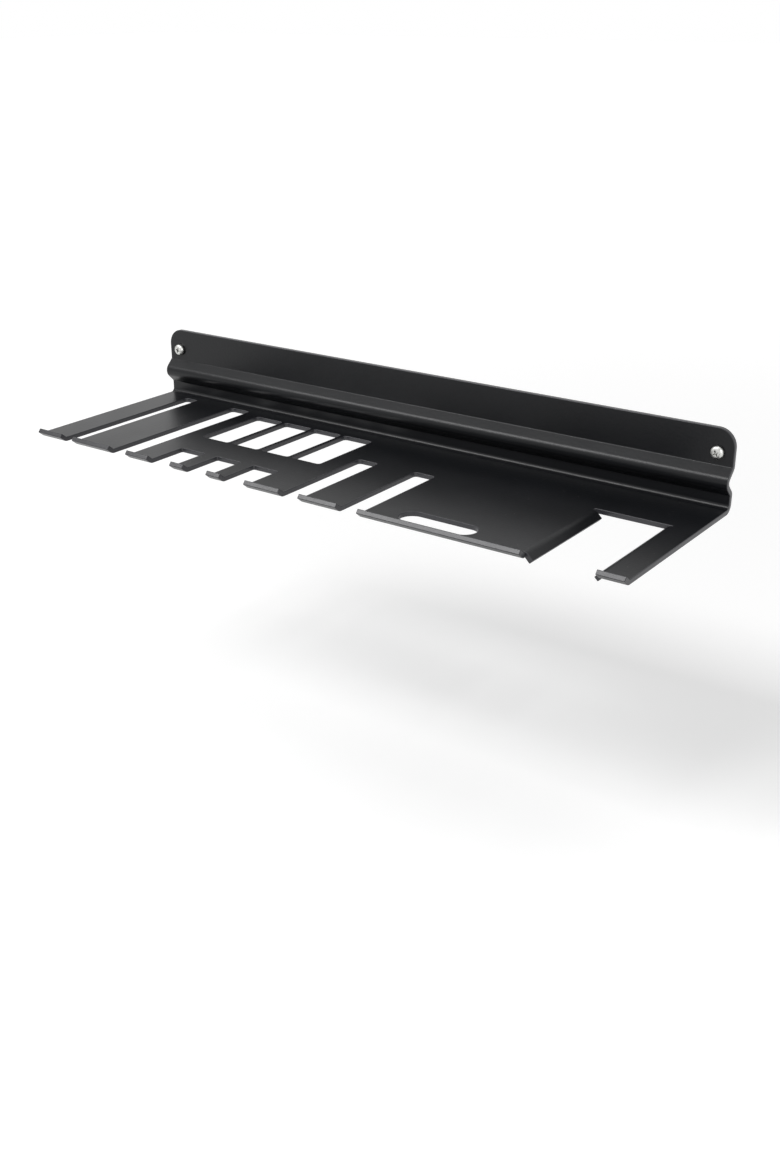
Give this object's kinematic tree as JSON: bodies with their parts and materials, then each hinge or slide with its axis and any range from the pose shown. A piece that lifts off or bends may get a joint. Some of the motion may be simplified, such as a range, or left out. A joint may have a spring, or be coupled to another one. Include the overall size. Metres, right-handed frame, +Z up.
{
  "type": "hand tool organizer",
  "caption": "Wall rack cut and bent from one steel sheet, with a beaded back panel and a shelf whose slots, notches, windows and open bay hold hand tools.",
  "frame": {"origin": "on the wall face of the back panel, midway between the two screw holes", "axes": "+X along the rack to its right end, seen from the front; +Y into the wall; +Z up"},
  "size_m": [0.432, 0.1529, 0.0526],
  "materials": {
    "powder_coat": "black satin powder coat",
    "zinc": "bright zinc plate"
  },
  "bodies": {
    "root": {"rack_sheet": "powder_coat", "wall_screw_left": "zinc", "wall_screw_right": "zinc"}
  },
  "joints": []
}
